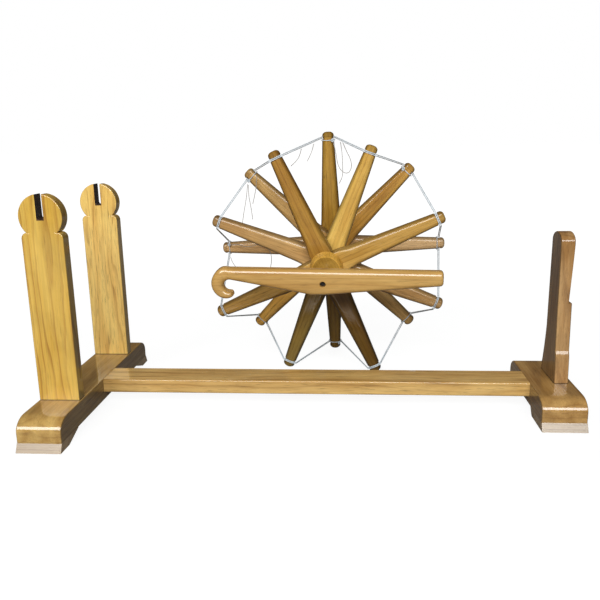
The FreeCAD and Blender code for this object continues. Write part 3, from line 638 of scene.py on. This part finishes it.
THREAD_DIAMETER = 0.0012
MM_IN_METRE = 1000
THREADS = {
    "thread_8_knot": (8, 0.068, ((-3, -15, -17), (-4, -17, -36), (0, -19, -57), (3, -22, -84))),
    "thread_8_long": (8, 0.099, ((-5, -14, -16), (-8, -16, -41), (-14, -19, -68), (-18, -21, -90),
                                 (-23, -23, -113))),
    "thread_8_right": (8, 0.056, ((14, -16, 1), (13, -18, -17), (10, -21, -34), (5, -24, -53))),
    "thread_1_loop": (1, 0.136, ((30, -37, -6), (36, -36, -21), (44, -36, -36), (47, -35, -50),
                                 (43, -34, -62), (35, -33, -65), (25, -30, -59), (19, -27, -46),
                                 (17, -24, -32), (14, -20, -17), (10, -17, -6))),
    "thread_1_hook": (1, 0.080, ((25, -27, -6), (28, -29, -22), (29, -33, -42), (30, -38, -63),
                                 (27, -39, -76), (22, -39, -83))),
    "thread_1_near": (1, 0.036, ((-25, -35, -8), (-27, -35, -16), (-31, -36, -27), (-38, -38, -40))),
    "thread_1_far": (1, 0.038, ((-44, -81, -11), (-46, -82, -21), (-53, -83, -33), (-64, -85, -42))),
    "thread_7_curl": (7, 0.136, ((10, -16, 9), (22, -20, 13), (35, -21, 8), (51, -21, 7), (66, -20, 12),
                                 (80, -21, 8), (91, -21, -2), (93, -22, -17), (91, -22, -34),
                                 (85, -22, -50))),
    "thread_7_tail": (7, 0.037, ((6, -13, -17), (8, -14, -26), (15, -15, -37), (24, -16, -48))),
}
thread_cotton = cotton("loose thread cotton", (172, 166, 160), (118, 108, 100), 0.7)
for name, (number, length, offsets) in THREADS.items():
    angle, layer = rear_tips[number]
    groove = tip_ways(angle)[0] * GROOVE_RADIUS + Vector((0, layer, 0))
    data = bpy.data.curves.new(name + "_cord", "CURVE")
    data.dimensions = "3D"
    data.resolution_u = 12
    data.bevel_depth = THREAD_DIAMETER / 2
    data.bevel_resolution = 2
    data.use_fill_caps = True
    spline = data.splines.new("NURBS")
    spline.points.add(len(offsets) - 1)
    route = [wheel_point(groove + Vector(offset) / MM_IN_METRE) for offset in offsets]
    for place, point in zip(spline.points, route):
        place.co = (*point, 1)
    spline.order_u = 3
    spline.use_endpoint_u = True
    thread = bpy.data.objects.new(name + "_cord", data)
    bpy.context.collection.objects.link(thread)
    thread.data.materials.append(thread_cotton)
    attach(thread, "wheel")
    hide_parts(name)


# A white studio floor lies under the object. The camera sees it glow, a little less near the object,
# where a soft shadow shows on it, and it throws little light back on the wood.

FLOOR_SIZE = 60
FLOOR_DROP = 0.0002
FLOOR_GREY = (0.14, 0.14, 0.14, 1)
WHITE = (1, 1, 1, 1)
MIRRORED_SHARE = 0.03
GLOW_NEAR = 0.85
GLOW_STRENGTH = 1.07
FADE_FROM = 0.7
FADE_TO = 2.0

bpy.ops.object.select_all(action="DESELECT")
bpy.ops.mesh.primitive_plane_add(size=FLOOR_SIZE, location=(0, 0, -FLOOR_DROP))
floor = bpy.context.active_object
floor.name = "studio_floor"
white, tree, shader = new_material("studio white")
shader.inputs["Roughness"].default_value = 0.9
path = tree.nodes.new("ShaderNodeLightPath")
mirrored = maths(tree, "MULTIPLY", path.outputs["Is Glossy Ray"], MIRRORED_SHARE)
seen = maths(tree, "MAXIMUM", path.outputs["Is Camera Ray"], mirrored)
seen = maths(tree, "MAXIMUM", seen, path.outputs["Is Transmission Ray"])
away = maths(tree, "LENGTH", object_place(tree), kind="ShaderNodeVectorMath")
share = maths(tree, "MULTIPLY", seen, ranged(tree, away, FADE_FROM, FADE_TO, GLOW_NEAR, 1.0))
glow = add(tree, "ShaderNodeEmission", Color=WHITE, Strength=GLOW_STRENGTH)
put(tree, shader.inputs["Base Color"], mixed(tree, seen, FLOOR_GREY, WHITE))
blend = add(tree, "ShaderNodeMixShader", i0=share, i1=shader.outputs[0], i2=glow.outputs[0])
put(tree, tree.nodes["Material Output"].inputs["Surface"], blend.outputs[0])
floor.data.materials.append(white)


# Plain soft light: a long window in front of the object, whose glare lies along every rounded edge,
# a weaker lamp behind that leaves no glare, and a room that is white to the eye and dim as a light.

LAMP_COLOUR = (0.98, 1, 1)
ROOM_LEVEL = 0.1
MIRRORED_LEVEL = 0.05


def lamp(name, place, target, wide, high, power, glare=True):
    """Flat lamp at a place, turned towards a target."""
    data = bpy.data.lights.new(name, "AREA")
    data.shape = "RECTANGLE"
    data.size = wide
    data.size_y = high
    data.energy = power
    data.color = LAMP_COLOUR
    made = bpy.data.objects.new(name, data)
    bpy.context.collection.objects.link(made)
    made.location = place
    made.visible_glossy = glare
    made.rotation_euler = (Vector(place) - Vector(target)).to_track_quat("Z", "Y").to_euler()


lamp("front window", (-0.15, -2.3, 1.52), (0, 0, 0.15), 3.4, 1.15, 95)
lamp("back lamp", (0, 2.6, 1.2), (0, 0, 0.2), 1.8, 1.0, 34, glare=False)
world = bpy.data.worlds.new("white room")
bpy.context.scene.world = world
world.use_nodes = True
tree = world.node_tree
ground = tree.nodes["Background"]
path = tree.nodes.new("ShaderNodeLightPath")
seen = maths(tree, "MAXIMUM", path.outputs["Is Camera Ray"], path.outputs["Is Transmission Ray"])
room = ranged(tree, path.outputs["Is Glossy Ray"], 0.0, 1.0, ROOM_LEVEL, MIRRORED_LEVEL)
ground.inputs["Color"].default_value = WHITE
put(tree, ground.inputs["Strength"], maths(tree, "MAXIMUM", room, seen))
bpy.context.scene.view_settings.view_transform = "Standard"


# The camera stands in front of the object, a little to the right of its middle and above it. It looks
# down a little and slightly to the left.

CAMERA_PLACE = (0.0673, -1.137035, 0.4354)
CAMERA_YAW = math.radians(-4.593)
CAMERA_PITCH = math.radians(13.467)
CAMERA_ROLL = math.radians(-1.099)
CAMERA_LENS = 40.02
CAMERA_SENSOR = 36
CAMERA_NEAR = 0.05

ahead = Vector((math.sin(CAMERA_YAW) * math.cos(CAMERA_PITCH),
                math.cos(CAMERA_YAW) * math.cos(CAMERA_PITCH),
                -math.sin(CAMERA_PITCH)))
level_right = Vector((math.cos(CAMERA_YAW), -math.sin(CAMERA_YAW), 0))
level_up = level_right.cross(ahead)
right = level_right * math.cos(CAMERA_ROLL) + level_up * math.sin(CAMERA_ROLL)
up = level_up * math.cos(CAMERA_ROLL) - level_right * math.sin(CAMERA_ROLL)
camera_data = bpy.data.cameras.new("camera")
camera_data.lens = CAMERA_LENS
camera_data.sensor_width = CAMERA_SENSOR
camera_data.clip_start = CAMERA_NEAR
camera = bpy.data.objects.new("camera", camera_data)
bpy.context.collection.objects.link(camera)
camera_turn = Matrix((right, up, -ahead)).transposed()
camera.matrix_world = Matrix.LocRotScale(Vector(CAMERA_PLACE), camera_turn, None)
bpy.context.scene.camera = camera
